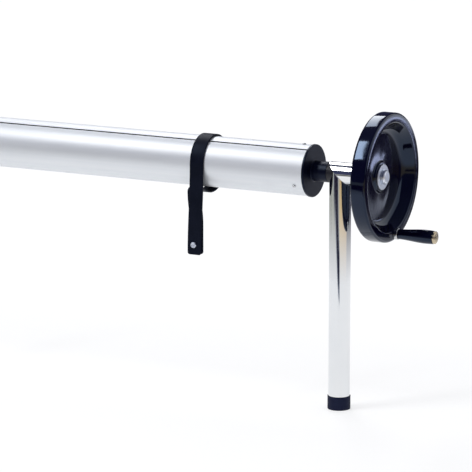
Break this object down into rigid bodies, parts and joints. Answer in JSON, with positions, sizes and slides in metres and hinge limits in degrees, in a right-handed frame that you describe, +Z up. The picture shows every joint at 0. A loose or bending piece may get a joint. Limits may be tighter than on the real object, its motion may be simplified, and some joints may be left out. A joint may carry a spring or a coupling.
{
  "type": "pool cover reel",
  "caption": "Pool cover reel with an aluminium roller carried on polished single-post stands, turned by a dished handwheel with a crank grip, and straps that hold the cover.",
  "frame": {"origin": "middle of the whole reel on the floor, under the roller's axis", "axes": "+X along the roller to the handwheel, +Z up, -Y the front"},
  "size_m": [2.7618, 0.25, 0.5915],
  "materials": {
    "aluminium": "satin extruded tube, clear anodised",
    "stainless": "mirror-polished stainless steel tube",
    "steel": "bright turned or plated steel",
    "gloss_black": "polished black thermoset",
    "cap_black": "satin black moulding",
    "nylon": "plain black bearing plastic",
    "strap_rubber": "smooth black rubber strap",
    "foot_rubber": "plain black moulded rubber"
  },
  "bodies": {
    "stands": {"right_post": "stainless", "right_bearing_tube": "stainless", "right_foot": "foot_rubber", "right_inner_bush": "nylon", "right_outer_bush": "nylon", "left_post": "stainless", "left_bearing_tube": "stainless", "left_foot": "foot_rubber", "left_inner_bush": "nylon", "left_outer_bush": "nylon"},
    "roller": {"roller_tube": "aluminium", "right_end_cap": "cap_black", "right_cap_screw_1": "steel", "right_cap_screw_2": "steel", "right_cap_screw_3": "steel", "left_end_cap": "cap_black", "left_cap_screw_1": "steel", "left_cap_screw_2": "steel", "left_cap_screw_3": "steel", "drive_shaft": "steel", "drive_shaft_pin": "steel", "idle_shaft": "steel", "idle_shaft_pin": "steel", "handwheel": "gloss_black", "wheel_key": "steel", "hub_washer": "steel", "hub_bolt": "steel", "handle_spindle": "steel", "handle_nut": "steel", "handle_end_cap": "steel", "strap_1": "strap_rubber", "strap_1_snap_cap": "steel", "strap_1_snap_socket": "steel", "strap_2": "strap_rubber", "strap_2_snap_cap": "steel", "strap_2_snap_socket": "steel", "strap_3": "strap_rubber", "strap_3_snap_cap": "steel", "strap_3_snap_socket": "steel", "strap_4": "strap_rubber", "strap_4_snap_cap": "steel", "strap_4_snap_socket": "steel"},
    "grip": {"handle_grip": "gloss_black"}
  },
  "joints": [
    {"name": "roller_turn", "type": "hinge", "parent": "stands", "child": "roller", "pos_m": [0, 0, 0.4665], "axis": [1, 0, 0], "continuous": true},
    {"name": "grip_turn", "type": "hinge", "parent": "roller", "child": "grip", "pos_m": [1.29315, 0.01566, 0.35509], "axis": [1, 0, 0], "continuous": true}
  ]
}
